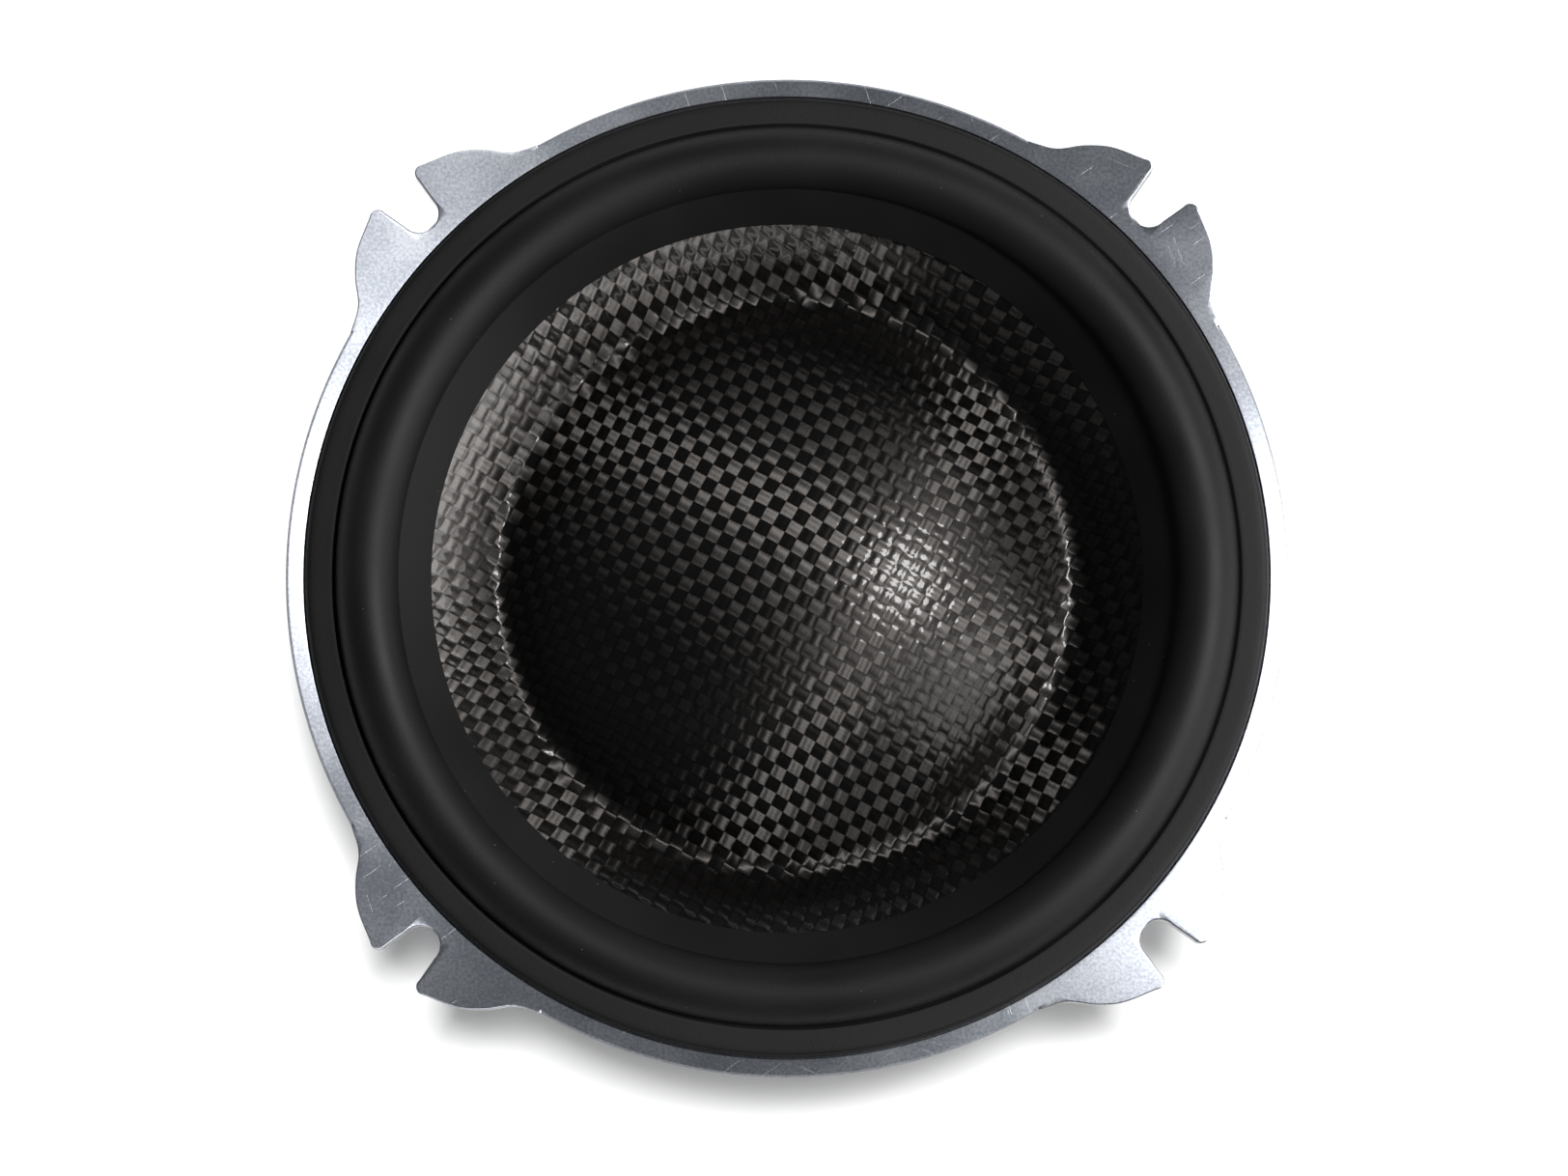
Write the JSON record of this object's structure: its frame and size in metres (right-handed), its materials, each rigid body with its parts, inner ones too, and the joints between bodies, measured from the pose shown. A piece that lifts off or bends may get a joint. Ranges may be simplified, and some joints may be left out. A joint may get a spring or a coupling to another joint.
{
  "type": "car subwoofer speaker",
  "caption": "Round car loudspeaker driver with a turned aluminium frame, slotted fixing lugs, rubber surround, one-piece woven carbon dish diaphragm and a vented ferrite motor.",
  "frame": {"origin": "centre of the motor's rear face, which is the lowest face, on the cone's axis", "axes": "+Z along the cone's axis towards the listener; the terminal board is on the -Y side; the four lugs stand on the diagonals between X and Y"},
  "size_m": [0.165, 0.165, 0.0856],
  "materials": {
    "machined_aluminium": "lathe-turned satin with fine circular tool marks",
    "surround_rubber": "matte moulded rubber with light dust",
    "woven_carbon": "plain-weave carbon cloth under a thin clear resin",
    "drive_cone_fibre": "pressed fibre, matte",
    "former_polyimide": "smooth amber-brown film",
    "copper": "enamelled copper",
    "spider_cloth": "corrugated resin-dipped cloth",
    "black_zinc_steel": "black-plated machined steel",
    "ferrite": "ground ferrite, matte",
    "shorting_aluminium": "bare turned aluminium",
    "boot_rubber": "matte moulded rubber",
    "gasket_foam": "closed-cell foam",
    "terminal_resin": "moulded black resin",
    "plated_brass": "gold-plated brass",
    "zinc_steel": "bright zinc-plated steel",
    "tinsel_braid": "braided tinsel wire"
  },
  "bodies": {
    "frame": {"basket": "machined_aluminium", "baffle_gasket": "gasket_foam", "surround": "surround_rubber", "spider": "spider_cloth", "yoke": "black_zinc_steel", "magnet": "ferrite", "top_plate": "black_zinc_steel", "pole_cap": "copper", "shorting_ring": "shorting_aluminium", "magnet_boot": "boot_rubber", "vent_screen": "black_zinc_steel", "motor_screw_1": "zinc_steel", "motor_screw_2": "zinc_steel", "motor_screw_3": "zinc_steel", "motor_screw_4": "zinc_steel", "terminal_board": "terminal_resin", "terminal_positive": "plated_brass", "terminal_negative": "plated_brass", "board_screw_left": "zinc_steel", "board_screw_right": "zinc_steel", "tinsel_lead_positive": "tinsel_braid", "tinsel_lead_negative": "tinsel_braid"},
    "moving_assembly": {"diaphragm": "woven_carbon", "drive_cone": "drive_cone_fibre", "coil_former": "former_polyimide", "coil_winding": "copper"}
  },
  "joints": [
    {"name": "cone_travel", "type": "slide", "parent": "frame", "child": "moving_assembly", "axis": [0, 0, 1], "range_m": [-0.006, 0.006], "stiffness_N_per_m": 2500, "deforming": ["surround", "spider", "tinsel_lead_positive", "tinsel_lead_negative"]}
  ]
}
